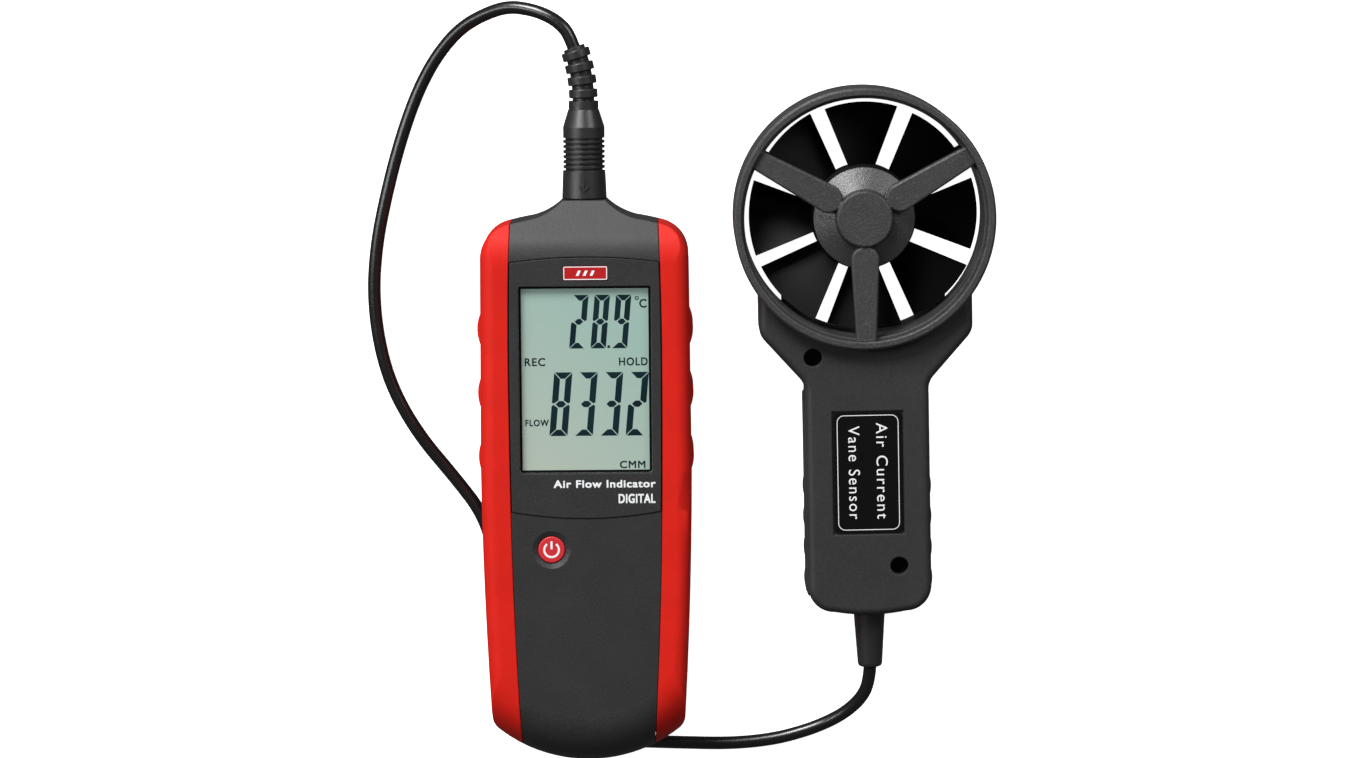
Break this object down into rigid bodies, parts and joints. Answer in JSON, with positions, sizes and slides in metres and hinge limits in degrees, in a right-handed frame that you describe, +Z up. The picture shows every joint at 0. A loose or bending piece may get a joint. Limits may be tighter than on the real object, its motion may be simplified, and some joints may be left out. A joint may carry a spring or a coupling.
{
  "type": "vane anemometer",
  "caption": "Hand-held air flow meter with red rubber grips and a display, joined by a cord and plug to a vane probe with a ring duct, bladed impeller and handle.",
  "frame": {"origin": "centre of the base of the bounding box of the meter and the probe, on the surface that both lie on", "axes": "+Z up out of the display, +Y from the meter's toe to its nose and along the probe's handle to its ring, +X from the meter to the probe"},
  "size_m": [0.2208, 0.2684, 0.0417],
  "materials": {
    "case_black": "fine moulded texture",
    "grip_red": "soft matte rubber",
    "clear_window": "clear",
    "lcd_glass": "grey-green display glass",
    "light_guide": "translucent white",
    "conductive_rubber": "striped silicone",
    "badge_red": "gloss",
    "button_red": "satin red",
    "board_green": "solder mask",
    "component_black": "moulded packages",
    "steel": "zinc plated",
    "screw_black": "black oxide",
    "brass": "turned",
    "jack_black": "moulded nylon",
    "battery_jacket": "printed jacket",
    "snap_black": "moulded",
    "stand_black": "moulded",
    "plug_black": "satin moulded",
    "cord_black": "satin cable jacket",
    "probe_black": "fine moulded texture",
    "ring_black": "fine moulded texture",
    "vane_black": "smooth moulded",
    "label_black": "gloss label",
    "print_white": "printed",
    "lcd_ink": "liquid crystal segments"
  },
  "bodies": {
    "meter": {"front_case": "case_black", "rear_case": "case_black", "left_grip": "grip_red", "right_grip": "grip_red", "display_bezel": "case_black", "lcd_window": "clear_window", "lcd_panel": "lcd_glass", "backlight_guide": "light_guide", "zebra_strips": "conductive_rubber", "badge": "badge_red", "main_board": "board_green", "board_components": "component_black", "board_screws": "steel", "buzzer": "component_black", "tactile_switch": "component_black", "input_jack": "jack_black", "battery_9v": "battery_jacket", "battery_snap": "snap_black", "case_screws": "steel", "tripod_bush": "brass", "stand_pin": "steel"},
    "power_button": {"power_button": "button_red"},
    "battery_door": {"battery_door": "case_black", "door_screw": "steel"},
    "tilt_stand": {"tilt_stand": "stand_black"},
    "probe_set": {"plug_body": "plug_black", "plug_shield": "steel", "plug_insert": "plug_black", "plug_pins": "brass", "plug_relief": "plug_black", "probe_cord": "cord_black", "probe_relief": "plug_black", "probe_front_shell": "probe_black", "probe_rear_shell": "probe_black", "probe_screws": "screw_black", "probe_board": "board_green", "sensor_leads": "component_black", "label_plate": "label_black", "vane_ring": "ring_black", "front_guard": "ring_black", "rear_guard": "ring_black", "front_bearing": "brass", "rear_bearing": "brass", "pickup_sensor": "component_black", "temperature_sensor": "component_black"},
    "impeller": {"impeller_hub": "vane_black", "impeller_blades": "vane_black", "impeller_axle": "steel", "hub_magnets": "steel"}
  },
  "joints": [
    {"name": "plug_pull", "type": "slide", "parent": "meter", "child": "probe_set", "axis": [0, 1, 0], "range_m": [0, 0.009]},
    {"name": "impeller_spin", "type": "hinge", "parent": "probe_set", "child": "impeller", "pos_m": [0.04503, 0.07276, 0.0115], "axis": [0, 0, 1], "continuous": true},
    {"name": "button_press", "type": "slide", "parent": "meter", "child": "power_button", "axis": [0, 0, -1], "range_m": [0, 0.0008], "stiffness_N_per_m": 400},
    {"name": "door_lift", "type": "slide", "parent": "meter", "child": "battery_door", "axis": [0, 0, -1], "range_m": [0, 0.015]},
    {"name": "stand_fold", "type": "hinge", "parent": "meter", "child": "tilt_stand", "pos_m": [-0.05254, 0.03324, 0.0025], "axis": [1, 0, 0], "range_deg": [0, 60]}
  ]
}
